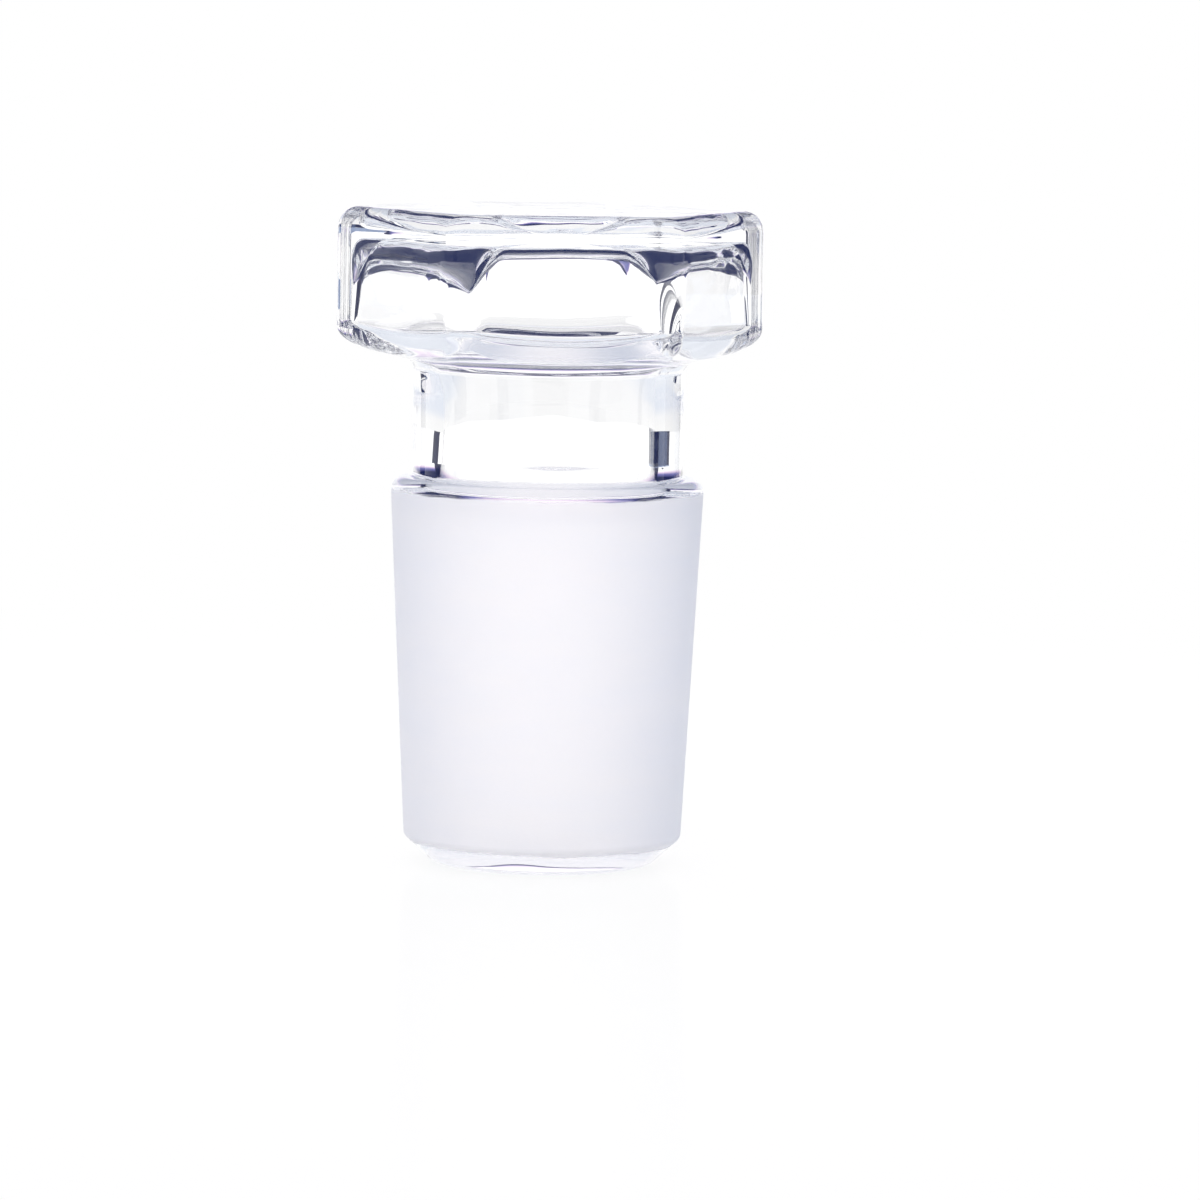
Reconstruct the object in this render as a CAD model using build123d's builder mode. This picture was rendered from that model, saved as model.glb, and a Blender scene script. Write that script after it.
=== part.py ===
"""Hollow glass stopper with a six-sided head, for a 29/32 ground socket.

One piece of borosilicate glass, blown from tube in a mould and sealed at both ends.
It stands on its closed foot, so the origin is the middle of the foot's standing ring
and +Z is the axis of the cone. Two flats of the head face -Y and +Y.
"""
import os
from math import cos, radians, sqrt, tan

from build123d import *

# Ground cone, size 29/32 of the 1 in 10 taper series
cone_large_d = 29.2
cone_length = 32.0
cone_taper = 10.0
cone_wall = 2.6

# Closed foot below the cone
foot_height = 2.6
foot_bevel = 2.8
foot_round = 2.0
foot_edge_round = 0.8
foot_thickness = 3.4
foot_inner_round = 4.0
dish_r = 7.0
dish_depth = 0.35

# Shoulder between the cone and the neck
shoulder_height = 1.7
shoulder_round = 1.2
shoulder_cove = 0.5
shoulder_inner_height = 3.5
shoulder_inner_round = 2.0

# Neck, a tube with its bore flared at both ends
neck_d = 25.3
neck_length = 10.8
neck_wall = 2.7
neck_cove = 1.2
neck_inner_foot_round = 6.0
neck_inner_top_round = 20.0
throat_length = 4.8
throat_flare = 1.25
throat_round = 3.0

# Six-sided head
head_across_flats = 35.3
head_height = 14.3
head_corner_round = 3.0
head_top_round = 2.0
head_bottom_round = 2.2
head_wall = 2.3
head_top_thickness = 3.0
head_inner_corner_round = 4.2
head_inner_top_round = 2.6
head_inner_bottom_round = 1.0
underside_slope = 14.0
underside_wall = 1.9

# Levels and radii that follow from the sizes above
cone_large_r = cone_large_d / 2
cone_small_r = cone_large_r - cone_length / cone_taper / 2
cone_top = foot_height + cone_length
neck_foot = cone_top + shoulder_height
neck_top = neck_foot + neck_length
head_top = neck_top + head_height
neck_r = neck_d / 2
bore_r = neck_r - neck_wall
throat_r = bore_r + throat_flare
throat_foot = neck_top - throat_length
head_apothem = head_across_flats / 2
cavity_apothem = head_apothem - head_wall
cavity_top = head_top - head_top_thickness
cone_offset = cone_wall * sqrt(1 + (1 / (2 * cone_taper)) ** 2)
cavity_shoulder = neck_foot - shoulder_inner_height
cone_bore_large_r = cone_large_r - cone_offset - (cone_top - cavity_shoulder) / cone_taper / 2
cone_bore_small_r = cone_small_r - cone_offset
slope_rise = tan(radians(underside_slope))
cavity_floor = neck_top + (throat_r - neck_r) * slope_rise + underside_wall / cos(radians(underside_slope))
head_reach = head_apothem / cos(radians(30)) + 1
head_middle = neck_top + head_height / 2
cavity_middle = (cavity_floor + cavity_top) / 2


def level_edges(part, height):
    """Edges of a part that lie flat at one height."""
    return part.edges().filter_by_position(Axis.Z, height - 0.01, height + 0.01)


def ring_edge(part, radius, height):
    """The full circle of one radius at one height."""
    rings = level_edges(part, height).filter_by(GeomType.CIRCLE)
    return rings.filter_by(lambda edge: abs(edge.radius - radius) < 0.01)


def cone_rim(part):
    """Outer edges of a six-sided block's coned underside, without its seam and its inner circle."""
    cone = part.faces().filter_by(GeomType.CONE).sort_by(SortBy.AREA)[-1]
    return cone.edges().filter_by(lambda edge: edge.geom_type not in (GeomType.LINE, GeomType.CIRCLE))


# Turned body: dished foot, cone, shoulder and neck, closed off inside the head
with BuildPart() as body:
    with BuildSketch(Plane.XZ) as body_outline:
        with BuildLine() as body_edge:
            TangentArc((0, dish_depth), (dish_r, 0), tangent=(1, 0))
            FilletPolyline(
                (dish_r, 0),
                (cone_small_r - foot_bevel, 0),
                (cone_small_r, foot_height),
                (cone_large_r, cone_top),
                (cone_large_r, neck_foot),
                (neck_r, neck_foot),
                (neck_r, head_middle),
                (0, head_middle),
                radius=[foot_round, foot_edge_round, 0, shoulder_round, shoulder_cove, 0],
            )
            Line((0, head_middle), (0, dish_depth))
        make_face()
    revolve(axis=Axis.Z)

# Head: a six-sided block with a coned underside and rounded rims
with BuildPart() as head:
    with BuildSketch(Plane.XY.offset(neck_top)) as head_plan:
        RegularPolygon(radius=head_apothem, side_count=6, major_radius=False)
        fillet(head_plan.vertices(), head_corner_round)
    extrude(amount=head_height)
    with BuildSketch(Plane.XZ) as underside:
        with BuildLine() as underside_edge:
            Polyline(
                (neck_r, neck_top),
                (head_reach, neck_top),
                (head_reach, neck_top + (head_reach - neck_r) * slope_rise),
                close=True,
            )
        make_face()
    revolve(axis=Axis.Z, mode=Mode.SUBTRACT)
    fillet(level_edges(head, head_top), head_top_round)
    fillet(cone_rim(head), head_bottom_round)

# Hollow inside: the tube's bore, and the space that the mould leaves in the head
with BuildPart() as cavity:
    with BuildSketch(Plane.XY.offset(cavity_floor)) as cavity_plan:
        RegularPolygon(radius=cavity_apothem, side_count=6, major_radius=False)
        fillet(cavity_plan.vertices(), head_inner_corner_round)
    extrude(amount=cavity_top - cavity_floor)
    with BuildSketch(Plane.XZ) as cavity_underside:
        with BuildLine() as cavity_underside_edge:
            Polyline(
                (throat_r, cavity_floor),
                (head_reach, cavity_floor),
                (head_reach, cavity_floor + (head_reach - throat_r) * slope_rise),
                close=True,
            )
        make_face()
    revolve(axis=Axis.Z, mode=Mode.SUBTRACT)
    fillet(level_edges(cavity, cavity_top), head_inner_top_round)
    fillet(cone_rim(cavity), head_inner_bottom_round)
    with BuildSketch(Plane.XZ) as bore_outline:
        with BuildLine() as bore_edge:
            FilletPolyline(
                (0, foot_thickness),
                (cone_bore_small_r, foot_thickness),
                (cone_bore_large_r, cavity_shoulder),
                (bore_r, neck_foot),
                (bore_r, throat_foot),
                (throat_r, cavity_floor),
                (throat_r, cavity_middle),
                (0, cavity_middle),
                radius=[
                    foot_inner_round,
                    shoulder_inner_round,
                    neck_inner_foot_round,
                    neck_inner_top_round,
                    0,
                    0,
                ],
            )
            Line((0, cavity_middle), (0, foot_thickness))
        make_face()
    revolve(axis=Axis.Z)
    fillet(ring_edge(cavity, throat_r, cavity_floor), throat_round)

# The whole stopper
with BuildPart() as stopper:
    add(body.part)
    add(head.part)
    fillet(ring_edge(stopper, neck_r, neck_top), neck_cove)
    add(cavity.part, mode=Mode.SUBTRACT)

stopper.part.label = "stopper"
os.makedirs("parts", exist_ok=True)
export_step(stopper.part, "parts/stopper.step")
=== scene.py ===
# %% [markdown]
# # A hollow glass stopper
# The stopper is one piece of clear borosilicate glass, blown from tube. Its head was pressed in a six-sided mould,
# its cone was ground to fit a socket, and both ends were sealed, so the glass is a wall round a space of still air.
# The packed model is loaded first. It gives the frame, and the box that the finished glass has to fill.

# %% Load the frame
import math

import bmesh
import bpy
from mathutils import Matrix, Vector, noise


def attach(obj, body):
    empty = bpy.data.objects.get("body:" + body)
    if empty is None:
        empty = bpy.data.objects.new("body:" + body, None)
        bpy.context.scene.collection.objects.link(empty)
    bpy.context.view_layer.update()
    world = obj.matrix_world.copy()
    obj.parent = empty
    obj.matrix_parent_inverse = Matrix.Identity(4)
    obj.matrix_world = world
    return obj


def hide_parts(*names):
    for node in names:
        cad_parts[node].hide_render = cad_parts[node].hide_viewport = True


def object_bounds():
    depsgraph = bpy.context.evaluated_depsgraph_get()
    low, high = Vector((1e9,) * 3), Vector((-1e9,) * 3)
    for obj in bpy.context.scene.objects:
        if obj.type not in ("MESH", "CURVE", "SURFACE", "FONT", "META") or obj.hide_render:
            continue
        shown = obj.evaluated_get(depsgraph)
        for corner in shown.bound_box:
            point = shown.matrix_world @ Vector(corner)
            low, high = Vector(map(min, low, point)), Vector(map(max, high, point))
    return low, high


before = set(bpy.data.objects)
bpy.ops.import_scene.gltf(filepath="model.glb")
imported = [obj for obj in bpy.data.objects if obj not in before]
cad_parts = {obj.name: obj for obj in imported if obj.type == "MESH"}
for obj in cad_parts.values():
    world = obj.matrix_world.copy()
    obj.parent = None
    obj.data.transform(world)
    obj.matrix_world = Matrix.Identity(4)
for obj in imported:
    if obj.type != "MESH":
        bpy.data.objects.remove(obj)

cad_low, cad_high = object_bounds()
scene = bpy.context.scene
print("box of the packed model:", cad_low, cad_high)

# %% [markdown]
# ## The camera
# A stopper like this is looked at from just above its own height, across a table. A long lens keeps its upright
# sides upright. A short lens held near would swell the head, so the camera stands well back instead, and it is
# turned a few degrees round the stopper, because the flats of the head don't quite face the viewer.

# %% Stand the camera
VIEW_TURN = math.radians(-4.5)
CAMERA_DISTANCE = 0.690
CAMERA_HEIGHT = 0.0915
CAMERA_ROLL = math.radians(0.95)
AIM_ASIDE = 0.0051
AIM_HEIGHT = 0.0248

camera_data = bpy.data.cameras.new("camera")
camera_data.sensor_width = 36
camera_data.lens = 222
camera_data.clip_start = 0.01
camera_data.clip_end = 20
camera = bpy.data.objects.new("camera", camera_data)
scene.collection.objects.link(camera)
scene.camera = camera

ahead = Vector((math.sin(VIEW_TURN), -math.cos(VIEW_TURN), 0))
sideways = Vector((math.cos(VIEW_TURN), math.sin(VIEW_TURN), 0))
camera.location = ahead * CAMERA_DISTANCE + Vector((0, 0, CAMERA_HEIGHT))
aim = sideways * AIM_ASIDE + Vector((0, 0, AIM_HEIGHT))
look = (aim - camera.location).to_track_quat("-Z", "Y").to_matrix().to_4x4()
camera.rotation_euler = (look @ Matrix.Rotation(CAMERA_ROLL, 4, "Z")).to_euler()
print("camera", round((aim - camera.location).length, 3), "m from what it looks at")

# %% [markdown]
# ## The sizes of the glass
# Glass shows its inside as clearly as its outside, because every ray crosses both faces of the wall. So the outline
# of the hollow matters as much as the outline of the stopper, and the sizes of both are named here, in millimetres.
# The height and the width across the flats come from the packed model's box. Names that end in r are radii, and
# a foot or a top is a level above the table.

# %% Name the outside's sizes
MM = 0.001
height = cad_high.z / MM
head_apothem = cad_high.y / MM

cone_large_r = 14.6
cone_small_r = 13.0
cone_foot = 2.6
cone_top = 34.6
foot_flat_r = 10.2
foot_round = 2.0
foot_edge_round = 0.8
dish_r = 7.0
dish_depth = 0.35
shoulder_round = 1.2
shoulder_cove = 0.5
neck_r = 12.65
neck_foot = 36.3
neck_top = 47.1
neck_cove = 1.2
underside_rise = math.tan(math.radians(14))
head_bottom_round = 2.2
head_top_round = 2.0
head_corner_round = 3.0
print("height", round(height, 2), "mm, flats", round(2 * head_apothem, 2), "mm apart")

# %% [markdown]
# The hollow follows the outside at the thickness of a blown wall. Its bore is narrowest in the neck and flares at
# both ends, as a tube does where it was drawn out to a wider part. Its floor in the head slopes as the underside
# does.

# %% Name the hollow's sizes
cone_wall = 2.6
foot_thickness = 3.4
foot_inner_round = 4.0
shoulder_inner_height = 3.5
shoulder_inner_round = 2.0
bore_r = 9.95
neck_inner_foot_round = 6.0
neck_inner_top_round = 20.0
throat_r = 11.2
throat_foot = 42.3
throat_round = 3.0
head_wall = 2.3
head_inner_bottom_round = 1.0
ceiling = 3.0
rim_round = 2.0
rim_margin = 0.3
hollow_apothem = head_apothem - head_wall
hollow_floor = 48.4
hollow_top = height - ceiling
print("hollow from", foot_thickness, "to", round(hollow_top, 2), "mm, bore", 2 * bore_r, "mm wide")

# %% [markdown]
# ## Half outlines, turned
# The stopper began as a turned form, so it can be modelled as one: half an outline beside the axis, spun once round.
# The outline could be a long list of points, but a few corners are enough. Each corner is a vertex of a wire, and a
# vertex bevel rounds it to its own radius. The straight runs are then divided, so that the spun wall has even faces
# all the way up and there is something to press into six sides.

# %% Draw a half outline
ROUND_SEGMENTS = 14


def corner_reach(before, corner, after, radius):
    """How far along its two edges a round of this radius starts from a corner."""
    turn = (corner - before).angle(after - corner)
    return radius * math.tan(turn / 2)


def half_outline(corners, spacing):
    """A wire in the XZ plane from (radius, level, rounding) corners, in millimetres."""
    bm = bmesh.new()
    points = [Vector((r, 0, z)) * MM for r, z, rounding in corners]
    verts = [bm.verts.new(p) for p in points]
    for a, b in zip(verts, verts[1:]):
        bm.edges.new((a, b))
    for i in range(1, len(corners) - 1):
        rounding = corners[i][2] * MM
        if rounding:
            bmesh.ops.bevel(
                bm, geom=[verts[i]], offset=corner_reach(*points[i - 1:i + 2], rounding),
                offset_type="OFFSET", segments=ROUND_SEGMENTS, profile=0.5, affect="VERTICES", material=-1,
            )
    edges_by_cuts = {}
    for edge in bm.edges:
        edges_by_cuts.setdefault(int(edge.calc_length() / (spacing * MM)), []).append(edge)
    for cuts, edges in edges_by_cuts.items():
        if cuts:
            bmesh.ops.subdivide_edges(bm, edges=edges, cuts=cuts)
    print("outline of", len(corners), "corners has", len(bm.verts), "points")
    return bm


# %% [markdown]
# The outside runs from the middle of the dished foot, up the cone and the neck, out under the head and over its rim.
# The hollow runs the same way inside it. It has one more point just under its rim, so that the straight wall and the
# rim can be reshaped apart.

# %% Draw the outside and the hollow
outside = half_outline([
    (0, dish_depth, 0),
    (dish_r * 0.5, dish_depth * 0.75, 8),
    (dish_r, 0, 3),
    (foot_flat_r, 0, foot_round),
    (cone_small_r, cone_foot, foot_edge_round),
    (cone_large_r, cone_top, 0),
    (cone_large_r, neck_foot, shoulder_round),
    (neck_r, neck_foot, shoulder_cove),
    (neck_r, neck_top, neck_cove),
    (head_apothem, neck_top + (head_apothem - neck_r) * underside_rise, head_bottom_round),
    (head_apothem, height, head_top_round),
    (0, height, 0),
], spacing=2.0)
hollow = half_outline([
    (0, foot_thickness, 0),
    (cone_small_r - cone_wall, foot_thickness, foot_inner_round),
    (cone_large_r - cone_wall, neck_foot - shoulder_inner_height, shoulder_inner_round),
    (bore_r, neck_foot, neck_inner_foot_round),
    (bore_r, throat_foot, neck_inner_top_round),
    (throat_r, hollow_floor + (throat_r - bore_r) * underside_rise, throat_round),
    (hollow_apothem, hollow_floor + (hollow_apothem - bore_r) * underside_rise, head_inner_bottom_round),
    (hollow_apothem, hollow_top - rim_round - rim_margin, 0),
    (hollow_apothem, hollow_top, rim_round),
    (0, hollow_top, 0),
], spacing=1.0)

# %% [markdown]
# The spin leaves a seam where its end meets its start, and a heap of points at each pole. Merging the doubles closes
# both, and after that the normals are worked out again so that every face looks out of its shell. The number of steps
# divides by twelve, so that every half of every flat gets the same faces.

# %% Spin the outlines
AROUND = 288


def spin_round(bm):
    """Spins a wire once round the axis, and closes its seam and its poles."""
    bmesh.ops.spin(
        bm, geom=bm.verts[:] + bm.edges[:], cent=(0, 0, 0), axis=(0, 0, 1), angle=math.tau,
        steps=AROUND, use_merge=True, use_duplicate=False,
    )
    bmesh.ops.remove_doubles(bm, verts=bm.verts, dist=0.002 * MM)
    bmesh.ops.recalc_face_normals(bm, faces=bm.faces)
    print("turned", len(bm.faces), "faces")


spin_round(outside)
spin_round(hollow)

# %% [markdown]
# ## The rim of the hollow
# The mould shapes the outside of the head. The inside is only air, and soft glass flows where it likes: the turn
# between the hollow's walls and its ceiling is a tight round over each flat, and in each corner it is a wide, nearly
# straight slope under a ceiling that sags a little. That turn throws light upwards, so it draws the dark arches over
# the flats. One even bevel would draw a plain dark stripe. Here each flat and each corner has its own size of turn,
# and the turn eases from one to the next.

# %% Measure a place on the rim
def eased(share):
    """A share from 0 to 1, slow at both ends."""
    share = min(max(share, 0), 1)
    return share * share * (3 - 2 * share)


def corner_share(angle):
    """0 at the middle of a flat and 1 in a corner, with the flat's and the corner's number."""
    degrees = math.degrees(angle) % 360
    flat = int(degrees / 60)
    off_flat = degrees - (30 + 60 * flat)
    corner = flat if off_flat < 0 else (flat + 1) % 6
    return (abs(off_flat) / 30) ** 2.5, flat, corner


print("half way to a corner the turn is", round(corner_share(math.radians(45))[0], 2), "of the corner's")

# %% [markdown]
# A point on the spun rim is at some part of a quarter turn. It is sent to the same part of its own turn: from a round
# over the flats to a straight slope in the corners. The wall below and the ceiling inside are stretched to meet it.

# %% Vary the rim
STRETCHED_WALL = 7.0


def vary_rim(bm, corner_drops, flat_drops, corner_width, slope, sag):
    """Gives the turn under the ceiling its own depth and width at each angle, in millimetres."""
    wall_foot = hollow_top - STRETCHED_WALL
    rim_foot = hollow_top - rim_round
    rim_inner_r = hollow_apothem - rim_round
    for vert in bm.verts:
        r = math.hypot(vert.co.x, vert.co.y) / MM
        z = vert.co.z / MM
        if r < 0.01 or z < wall_foot:
            continue
        share, flat, corner = corner_share(math.atan2(vert.co.y, vert.co.x))
        deep = flat_drops[flat] * (1 - share) + corner_drops[corner] * share
        wide = deep * (1 - share) + corner_width * share
        straight = slope * share
        across, over = r - rim_inner_r, z - rim_foot
        if over < 0:
            new_r = r
            z = wall_foot + (z - wall_foot) * (hollow_top - deep - wall_foot) / (rim_foot - wall_foot)
        elif across < 0:
            new_r = r * (hollow_apothem - wide) / rim_inner_r
        else:
            turn = math.atan2(over, across)
            part = turn / (math.pi / 2)
            new_r = hollow_apothem - wide * (1 - (1 - straight) * math.cos(turn) - straight * (1 - part))
            z = hollow_top - deep * (1 - (1 - straight) * math.sin(turn) - straight * part)
        up = eased((z - wall_foot) / STRETCHED_WALL)
        out = eased(new_r / hollow_apothem * 1.5 - 0.3)
        vert.co.x *= new_r / r
        vert.co.y *= new_r / r
        vert.co.z = (z - sag * share * up * out) * MM


CORNER_DROPS = (3.4, 3.6, 3.6, 4.0, 3.8, 2.4)
FLAT_DROPS = (1.6, 1.6, 1.6, 3.4, 1.0, 2.4)
vary_rim(hollow, CORNER_DROPS, FLAT_DROPS, corner_width=6.2, slope=0.6, sag=0.8)
print("the ceiling turns down over", min(FLAT_DROPS), "to", max(CORNER_DROPS), "mm")

# %% [markdown]
# ## Pressing the head
# The two jaws of the mould close on the turned head and leave six flats with rounded corners. The same thing is done
# to the mesh: each point of a ring keeps its place in line, and slides out to a hexagon that has far more of its
# points on its corners than on its flats. Scaling each point by its angle alone would leave the corners with three or
# four faces each, and every one of those faces would show in the glass as a stripe.

# %% Place a point on a rounded hexagon
FLAT_WEIGHT = 0.15


def pressed_place(angle, apothem, rounding):
    """The point of a rounded hexagon, flats on -Y and +Y, for a point at this angle of a circle."""
    degrees = math.degrees(angle)
    flat = 30 + 60 * round((degrees - 30) / 60)
    off_flat = degrees - flat
    side = math.copysign(1, off_flat)
    out = Vector((math.cos(math.radians(flat)), math.sin(math.radians(flat)), 0))
    along = Vector((-out.y, out.x, 0)) * side
    half_flat = (apothem - rounding) * math.tan(math.radians(30))
    flat_share = FLAT_WEIGHT * half_flat / (FLAT_WEIGHT * half_flat + math.radians(30) * rounding)
    share = abs(off_flat) / 30
    if share < flat_share:
        return out * apothem + along * half_flat * share / flat_share
    bend = math.radians(30) * (share - flat_share) / (1 - flat_share)
    far_out = apothem - rounding + rounding * math.cos(bend)
    far_along = half_flat + rounding * math.sin(bend)
    return out * far_out + along * far_along


corner_place = pressed_place(0, head_apothem, head_corner_round)
print("a corner of the head belongs", round(corner_place.length, 2), "mm from the axis")

# %% [markdown]
# Below the head a ring stays round, and along the underside it turns from the neck's circle to the hexagon, so there
# the rounding shrinks from the ring's own radius to the corner's. A point that slides out on the underside also rises
# with its slope. The top is closed by smaller hexagons, one inside the other.

# %% Press the six sides
PRESSED_BELOW = 6.0
UNDERSIDE_DEPTH = 2.0
LIFT_END = 5.0
LIFT_FADE = 4.0
SMALLEST_ROUND = 1.0


def press_head(bm, neck_radius, apothem, foot, top, low_corner, high_corner):
    """Slides the head's points out to the mould. The corners may open up towards the top."""
    for vert in bm.verts:
        r = math.hypot(vert.co.x, vert.co.y) / MM
        z = vert.co.z / MM
        if z < foot - PRESSED_BELOW or r < 0.01:
            continue
        up = min(max((z - foot - UNDERSIDE_DEPTH) / (top - foot - UNDERSIDE_DEPTH), 0), 1)
        corner = low_corner + (high_corner - low_corner) * up
        if up < 0.5:
            rounding = r + (corner - r) * eased((r - neck_radius) / (apothem - neck_radius))
        else:
            rounding = min(max(corner - (apothem - r), SMALLEST_ROUND), r)
        place = pressed_place(math.atan2(vert.co.y, vert.co.x), r, rounding)
        lift = (place.length - r) * underside_rise * min(max((foot + LIFT_END - z) / LIFT_FADE, 0), 1)
        vert.co.x, vert.co.y = place.x * MM, place.y * MM
        vert.co.z += lift * MM


press_head(outside, neck_r, head_apothem, neck_top, height, head_corner_round, head_corner_round)
press_head(hollow, bore_r, hollow_apothem, hollow_floor, hollow_top, head_corner_round, 2 * head_corner_round)
print("head pressed, corners", round(max(v.co.x for v in outside.verts) / MM, 2), "mm from the axis")

# %% [markdown]
# ## The unevenness of blown glass
# The hollow never touched a tool, so its skin is a little wavy: long soft waves from blowing, small ripples under the
# ceiling where the head was sealed, and two rougher patches at the front corners. They hardly show as shape, but they
# break up every dark edge. A bump map would only bend the reflections, not the light that crosses the wall, so the
# points themselves are moved, along their normals, by a soft noise.

# %% Make the hollow uneven
RIPPLE_FADE = 4.0


def ripple(bm, depth, size, seed, above=-1.0, near=None, reach=RIPPLE_FADE):
    """Moves points along their normals by a soft noise. It can start at a level, or stay near a place."""
    bm.normal_update()
    moves = {}
    for vert in bm.verts:
        share = eased((vert.co.z / MM - above) / RIPPLE_FADE)
        if near:
            share = eased(1 - (vert.co / MM - Vector(near)).length / reach)
        if share:
            moves[vert] = noise.noise(vert.co / (size * MM) + Vector((seed, 0, 0))) * depth * share
    for vert, move in moves.items():
        vert.co += vert.normal * move * MM
    print("rippled", len(moves), "points by up to", depth, "mm")


ripple(hollow, 0.10, 7.0, 3.0)
ripple(hollow, 0.05, 2.2, 8.0, above=hollow_top - 5.0)
ripple(hollow, 0.30, 1.6, 5.0, near=(14.0, -6.0, 57.0), reach=4.5)
ripple(hollow, 0.22, 2.0, 6.0, near=(-11.5, -10.5, 56.5), reach=4.0)

# %% [markdown]
# ## One wall of glass
# A renderer bends light where it enters glass and again where it leaves. The outer shell's faces look out into the
# room, and the hollow's faces must look into the hollow, out of the glass, so they are all turned round before the
# two shells are joined into one mesh.

# %% Join the two shells
bmesh.ops.reverse_faces(hollow, faces=hollow.faces)
mesh = bpy.data.meshes.new("glass_stopper")
whole = bmesh.new()
for shell in (outside, hollow):
    shell.to_mesh(mesh)
    whole.from_mesh(mesh)
    shell.free()
for face in whole.faces:
    face.smooth = True
whole.to_mesh(mesh)
triangles = sum(len(face.verts) - 2 for face in whole.faces)
print("glass", round(whole.calc_volume() / MM ** 3), "mm3,", triangles, "triangles")
whole.free()

stopper = bpy.data.objects.new("glass_stopper", mesh)
scene.collection.objects.link(stopper)
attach(stopper, "root")
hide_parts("stopper")

# %% [markdown]
# ## Writing shaders as sums
# A node tree is quicker to read as a line of arithmetic than as a diagram. One small class stands for a socket and
# turns Python's own signs into Math nodes. A second one holds the tree, and one of its methods makes any node from
# its type, its settings and what goes into its sockets.

# %% Wrap a socket
class Value:
    """One output socket, with Python's signs as Math nodes."""

    def __init__(self, shader, socket):
        self.shader = shader
        self.socket = socket

    def __add__(self, other):
        return self.shader.math("ADD", self, other)

    def __sub__(self, other):
        return self.shader.math("SUBTRACT", self, other)

    def __mul__(self, other):
        return self.shader.math("MULTIPLY", self, other)

    def __truediv__(self, other):
        return self.shader.math("DIVIDE", self, other)

    __radd__ = __add__
    __rmul__ = __mul__


print("signs that make Math nodes: + - * /")

# %% Make nodes
class Shader:
    """The node tree of a material or of the world, written one node a line."""

    def __init__(self, owner):
        owner.use_nodes = True
        self.tree = owner.node_tree
        self.tree.nodes.clear()

    def node(self, kind, settings, sockets, output=0):
        made = self.tree.nodes.new(kind)
        for name, setting in settings.items():
            if name == "stops":
                stops = made.color_ramp.elements
                while len(stops) < len(setting):
                    stops.new(1.0)
                for stop, (position, colour) in zip(stops, setting):
                    stop.position = position
                    stop.color = colour
            else:
                setattr(made, name, setting)
        for key, value in sockets.items():
            if isinstance(value, Value):
                self.tree.links.new(value.socket, made.inputs[key])
            else:
                made.inputs[key].default_value = value
        return Value(self, made.outputs[output]) if made.outputs else None

    def math(self, operation, *values):
        return self.node("ShaderNodeMath", {"operation": operation}, dict(enumerate(values)))

    def between(self, value, low, high):
        """Rises from 0 to 1 while a value goes from low to high, or falls if high is the lower."""
        first, last = (0.0, 1.0) if low < high else (1.0, 0.0)
        return self.node("ShaderNodeMapRange", {"interpolation_type": "SMOOTHSTEP"}, {
            0: value, 1: min(low, high), 2: max(low, high), 3: first, 4: last,
        })

    def mixed(self, share, first, second):
        return self.node("ShaderNodeMix", {"data_type": "RGBA"}, {0: share, 6: first, 7: second}, output=2)

    def noise(self, place, scale, detail=2.0):
        return self.node("ShaderNodeTexNoise", {}, {"Vector": place, "Scale": scale, "Detail": detail})


print("node helpers:", ", ".join(name for name in vars(Shader) if not name.startswith("_")))

# %% [markdown]
# ## Clear glass and ground glass
# The same glass has two finishes. Most of it is fire-polished and clear. The cone was ground against its socket with
# a fine abrasive, which leaves a white skin of tiny pits that scatters the light. The two are one surface with no
# step between, so one material carries both, and a mask in the stopper's own coordinates chooses between them: it is
# 1 on the outer skin between the two ends of the cone, and 0 everywhere else, the hollow's skin among them. The ends
# waver a little, because grinding doesn't stop at a ruled line.

# %% Mask the ground skin
glass = bpy.data.materials.new("clear_and_ground_glass")
shader = Shader(glass)
place = shader.node("ShaderNodeTexCoord", {}, {}, output="Object")
x = shader.node("ShaderNodeSeparateXYZ", {}, {0: place}, output="X")
y = shader.node("ShaderNodeSeparateXYZ", {}, {0: place}, output="Y")
z = shader.node("ShaderNodeSeparateXYZ", {}, {0: place}, output="Z")
radius = shader.math("SQRT", x * x + y * y)
waver = shader.noise(place, 260.0) - 0.5
level = z / MM + waver * 0.5
cone_rise = (cone_large_r - cone_small_r) / (cone_top - cone_foot)
off_skin = radius / MM - level * cone_rise - (cone_small_r - cone_foot * cone_rise)
on_cone = shader.between(level, 1.95, 2.25) * shader.between(level, 35.25, 35.0)
ground = shader.between(off_skin, -1.1, -0.7) * on_cone
print("the ground skin widens by", round(2 * cone_rise, 3), "mm for each mm up")

# %% [markdown]
# The ground skin is mostly a rough white surface with a fine grain. Light that has got inside the cone shines out
# through it, so from within it is nearly all translucent. The reverse side of a face tells the two apart.

# %% Mix the glass
clear = shader.node("ShaderNodeBsdfPrincipled", {}, {
    "Base Color": (1, 1, 1, 1), "Roughness": 0.0, "IOR": 1.473, "Transmission Weight": 1.0,
})
stretched = shader.node("ShaderNodeMapping", {}, {"Vector": place, "Scale": (1.0, 1.0, 4.0)})
grain = shader.noise(stretched, 2600.0, 3.0)
cloud = shader.noise(stretched, 90.0, 2.0)
tint = shader.node("ShaderNodeValToRGB", {"stops": (
    (0.35, (0.960, 0.955, 0.985, 1)),
    (0.65, (0.985, 0.970, 0.985, 1)),
)}, {0: cloud * 0.7 + grain * 0.3})
pits = shader.node("ShaderNodeBump", {}, {"Strength": 0.25, "Distance": 0.00004, "Height": grain})
pitted = shader.node("ShaderNodeBsdfPrincipled", {}, {
    "Base Color": tint, "Roughness": 0.42, "IOR": 1.473, "Transmission Weight": 0.08, "Normal": pits,
})
lit_through = shader.node("ShaderNodeBsdfTranslucent", {}, {"Color": (0.973, 0.963, 0.985, 1)})
from_inside = shader.node("ShaderNodeNewGeometry", {}, {}, output="Backfacing")
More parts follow.
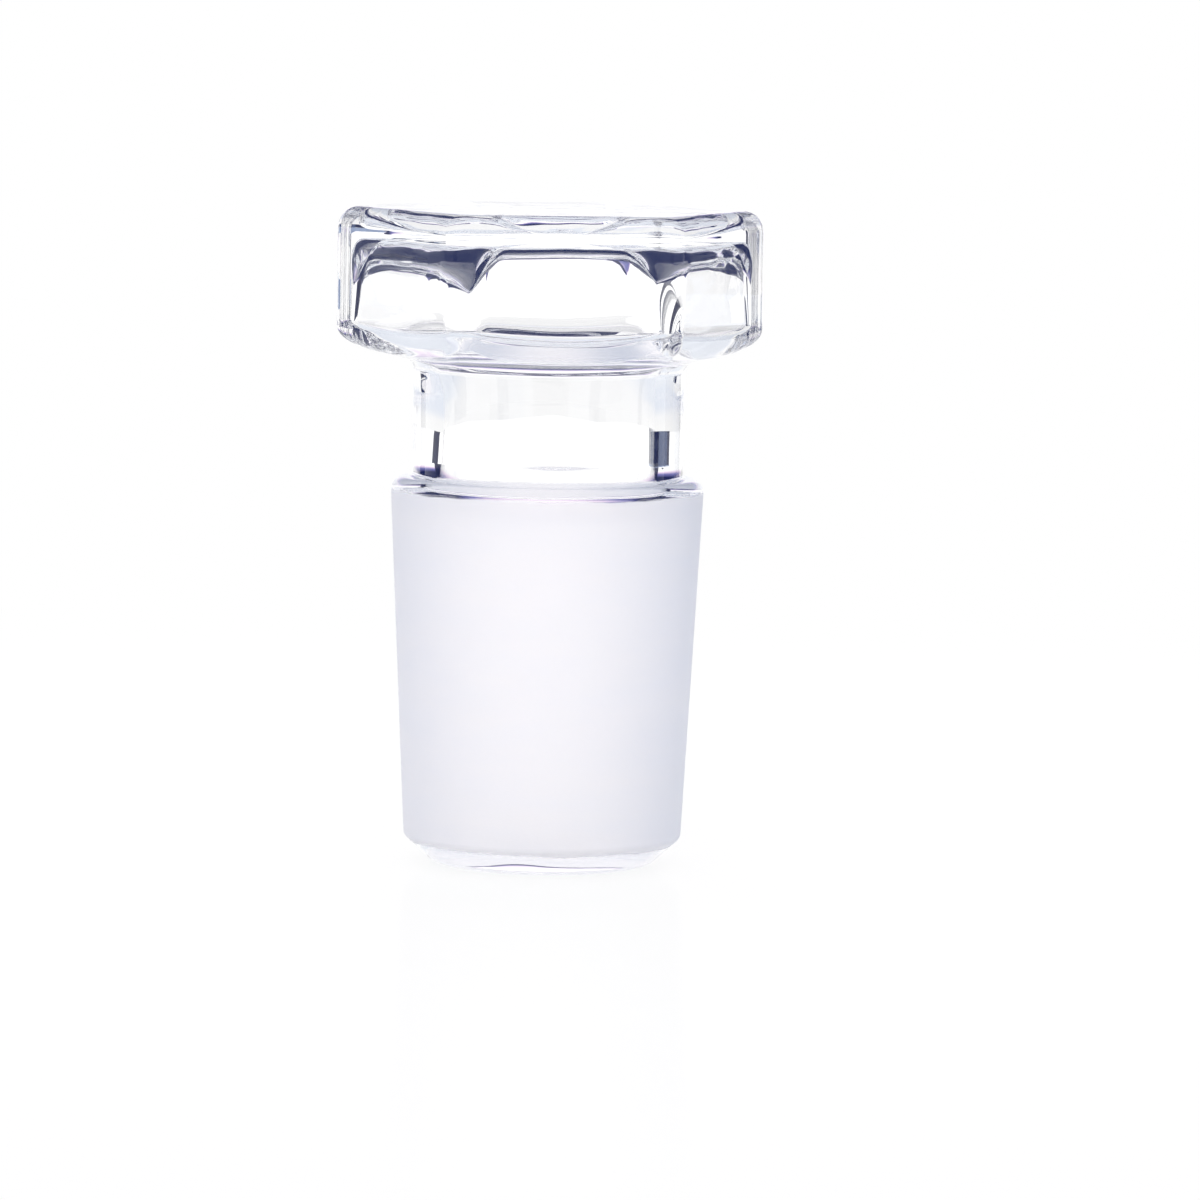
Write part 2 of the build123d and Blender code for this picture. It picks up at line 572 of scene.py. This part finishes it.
frosted = shader.node("ShaderNodeMixShader", {}, {0: 0.10 + 0.85 * from_inside, 1: pitted, 2: lit_through})
finish = shader.node("ShaderNodeMixShader", {}, {0: ground, 1: clear, 2: frosted})
shader.node("ShaderNodeOutputMaterial", {}, {"Surface": finish})
mesh.materials.append(glass)
print("glass material has", len(glass.node_tree.nodes), "nodes")

# %% [markdown]
# ## The floor
# The stopper stands on a sheet of white acrylic. Lit from below, such a sheet is plain white, and its gloss holds a
# faint picture of the glass. It could be a white plane with strong lamps over it, but then the glass would be overlit
# too. Here the sheet glows by itself wherever a camera or the glass looks at it, and stays a glossy white surface
# under that, which keeps the shadow and the reflection.

# %% Stage an object
WHITE = (1, 1, 1, 1)


def stage_object(name, bm, material):
    """Puts a floor or card in the scene as part of the studio, not of the stopper."""
    made = bpy.data.meshes.new(name)
    bm.to_mesh(made)
    bm.free()
    made.materials.append(material)
    staged = bpy.data.objects.new(name, made)
    scene.collection.objects.link(staged)
    print("staged", name)
    return staged


# %% [markdown]
# The glow is white to the camera. Near the foot, for rays that come out of the glass, it is painted a little blue: a
# painted shade that stands for the stopper's own shade on the sheet, and that tints the underside of the head.
# Outwards the glow takes over from the gloss.

# %% Lay the floor
acrylic = bpy.data.materials.new("lit_acrylic")
shader = Shader(acrylic)
place = shader.node("ShaderNodeTexCoord", {}, {}, output="Object")
reach = shader.node("ShaderNodeVectorMath", {"operation": "LENGTH"}, {0: place}, output="Value")
by_camera = shader.node("ShaderNodeLightPath", {}, {}, output="Is Camera Ray")
by_gloss = shader.node("ShaderNodeLightPath", {}, {}, output="Is Glossy Ray")
through_glass = shader.node("ShaderNodeLightPath", {}, {}, output="Is Transmission Ray")
seen = shader.math("MINIMUM", by_camera + by_gloss + through_glass, 1.0)
# painted shade: rays out of the glass see the glow darker and bluer near the foot
painted_shade = through_glass * shader.between(reach, 0.17, 0.12)
glow_colour = shader.mixed(painted_shade, WHITE, (0.80, 0.85, 0.94, 1))
glow = shader.node("ShaderNodeEmission", {}, {"Color": glow_colour, "Strength": 1.0})
sheet = shader.node("ShaderNodeBsdfPrincipled", {}, {
    "Base Color": (0.9, 0.9, 0.9, 1), "Roughness": 0.12, "IOR": 1.45,
})
glow_share = seen * (0.85 + 0.15 * shader.between(reach, 0.10, 0.24))
surface = shader.node("ShaderNodeMixShader", {}, {0: glow_share, 1: sheet, 2: glow})
shader.node("ShaderNodeOutputMaterial", {}, {"Surface": surface})

floor_bm = bmesh.new()
bmesh.ops.create_circle(floor_bm, cap_ends=True, segments=128, radius=0.32)
bmesh.ops.translate(floor_bm, verts=floor_bm.verts, vec=(0, 0, -0.00005))
stage_object("floor", floor_bm, acrylic)

# %% [markdown]
# ## The light
# Clear glass has no colour of its own: it shows what stands round it. In an all-white tent it would vanish. So the
# tent is white at the level of the eye and dark blue overhead, and that dark roof is what the rounded rim of the
# hollow picks up and draws as a navy line. Matt surfaces gather light from everywhere. For them the tent is a plain
# soft light with blue sides, which shades the ground cone towards its edges.

# %% Colour the tent
tent = bpy.data.worlds.new("tent")
scene.world = tent
tent.cycles.sampling_method = "NONE"
shader = Shader(tent)
direction = shader.node("ShaderNodeTexCoord", {}, {}, output="Generated")
up = shader.node("ShaderNodeSeparateXYZ", {}, {0: direction}, output="Z")
roof = shader.node("ShaderNodeValToRGB", {"stops": (
    (0.14, (1.2, 1.2, 1.2, 1)),
    (0.18, (0.95, 0.78, 0.98, 1)),
    (0.23, (0.20, 0.20, 0.50, 1)),
    (0.30, (0.012, 0.02, 0.09, 1)),
)}, {0: up})
across = shader.node("ShaderNodeVectorMath", {"operation": "DOT_PRODUCT"}, {
    0: direction, 1: sideways,
}, output="Value")
beside = shader.between(across, -0.60, -0.78) + shader.between(across, 0.52, 0.70)
soft = shader.mixed(beside, (1.68, 1.62, 1.56, 1), (0.02, 0.16, 0.42, 1))
print("tent coloured with", len(tent.node_tree.nodes), "nodes")

# %% [markdown]
# The outer skin of the glass also mirrors the tent, and a bright mirror image would hide what shows through. Where
# the tent stands behind the stopper, its mirror image is dimmed to a blue grey.

# %% Hang the tent
mirrored = shader.node("ShaderNodeLightPath", {}, {}, output="Is Reflection Ray")
for_matt = shader.node("ShaderNodeLightPath", {}, {}, output="Is Diffuse Ray")
for_camera = shader.node("ShaderNodeLightPath", {}, {}, output="Is Camera Ray")
facing = shader.node("ShaderNodeVectorMath", {"operation": "DOT_PRODUCT"}, {
    0: direction, 1: ahead,
}, output="Value")
dimmed = mirrored * (0.1 + 0.8 * shader.between(facing, -0.75, -0.2))
for_glass = shader.mixed(dimmed, roof, (0.10, 0.12, 0.20, 1))
colour = shader.mixed(for_camera, shader.mixed(for_matt, for_glass, soft), WHITE)
background = shader.node("ShaderNodeBackground", {}, {"Color": colour, "Strength": 1.0})
shader.node("ShaderNodeOutputWorld", {}, {"Surface": background})
print("tent hung")

# %% [markdown]
# ## Dark cards
# A photographer of glass stands dark cards just outside the view. The upright walls of the neck and the head pick
# them up as thin dark lines, which give clear glass its edges. A card is a strip of a cylinder round the stopper. The
# cards must not darken the floor or the ground cone, so only mirror-like and see-through paths meet them.

# %% Cut the cards
CARD_DISTANCE = 0.30
CARD_FOOT = -0.05
CARD_HEAD = 0.25
CARD_LIFT = 0.0005


def card_material(name, colour):
    """Matt paper of one colour."""
    material = bpy.data.materials.new(name)
    shader = Shader(material)
    paper = shader.node("ShaderNodeBsdfDiffuse", {}, {"Color": colour})
    shader.node("ShaderNodeOutputMaterial", {}, {"Surface": paper})
    return material


def cut_card(name, material, start, end, near, far):
    """A card between two bearings, in degrees right of the view, and two (distance, level) edges."""
    bm = bmesh.new()
    first = math.radians(90 - start) + VIEW_TURN
    out = Vector((math.cos(first), math.sin(first), 0))
    ends = [bm.verts.new(out * distance + Vector((0, 0, level))) for distance, level in (near, far)]
    edge = bm.edges.new(ends)
    bmesh.ops.spin(
        bm, geom=edge.verts[:] + [edge], cent=(0, 0, 0), axis=(0, 0, 1), angle=-math.radians(end - start),
        steps=12, use_merge=False, use_duplicate=False,
    )
    card = stage_object(name, bm, material)
    card.visible_camera = False
    card.visible_diffuse = False
    card.visible_shadow = False
    return card


navy = card_material("navy_card", (0.005, 0.01, 0.06, 1))
slate = card_material("slate_card", (0.07, 0.10, 0.20, 1))
haze = card_material("haze_card", (0.32, 0.39, 0.55, 1))
print("card colours:", navy.name, slate.name, haze.name)

# %% [markdown]
# One wide card would draw one plain bar in each wall. On the right, the bar in the neck is slate with navy edges, and
# a light gap parts it from the line in the head above, so that side is made of several cards.

# %% Stand the cards
for name, material, start, end, low, high in (
    ("card_left_low", navy, -53, -42.5, CARD_FOOT, 0.045),
    ("card_left_high", navy, -64, -47.5, 0.045, CARD_HEAD),
    ("card_right_low", navy, 50, 64, CARD_FOOT, 0.031),
    ("card_right_middle", slate, 34, 50, CARD_FOOT, 0.0275),
    ("card_right_edge", navy, 29.5, 34, CARD_FOOT, 0.027),
    ("card_right_gap", haze, 29.5, 50, 0.0275, 0.038),
    ("card_right_haze", haze, 50, 64, 0.031, 0.038),
    ("card_right_high", navy, 50, 64, 0.038, CARD_HEAD),
    ("card_right_head", navy, 40.5, 44, 0.047, 0.064),
    ("card_back_left", navy, -131, -116, CARD_FOOT, CARD_HEAD),
    ("card_back_right", navy, 116, 131, CARD_FOOT, CARD_HEAD),
):
    cut_card(name, material, start, end, (CARD_DISTANCE, low), (CARD_DISTANCE, high))

# %% [markdown]
# The rounded sides of the head look down at the floor in front. Two cards lie there. The floor's own gloss would
# mirror them as grey shapes, so they are hidden from every mirror-like path, and only rays that come out of the glass
# meet them.

# %% Lay the floor cards
for name, material, start, end in (
    ("card_floor_left", haze, -155, -128),
    ("card_floor_front", navy, 160, 195),
):
    card = cut_card(name, material, start, end, (0.060, CARD_LIFT), (0.28, CARD_LIFT))
    card.visible_glossy = False

# %% [markdown]
# ## Finish
# Light crosses the wall of a hollow glass many times before it gets out, so the paths are given room. The view is
# left plain, so that a colour looks as it was written.

# %% Finish
scene.view_settings.view_transform = "Standard"
scene.cycles.max_bounces = 40
scene.cycles.diffuse_bounces = 24
scene.cycles.transmission_bounces = 40
scene.cycles.glossy_bounces = 20
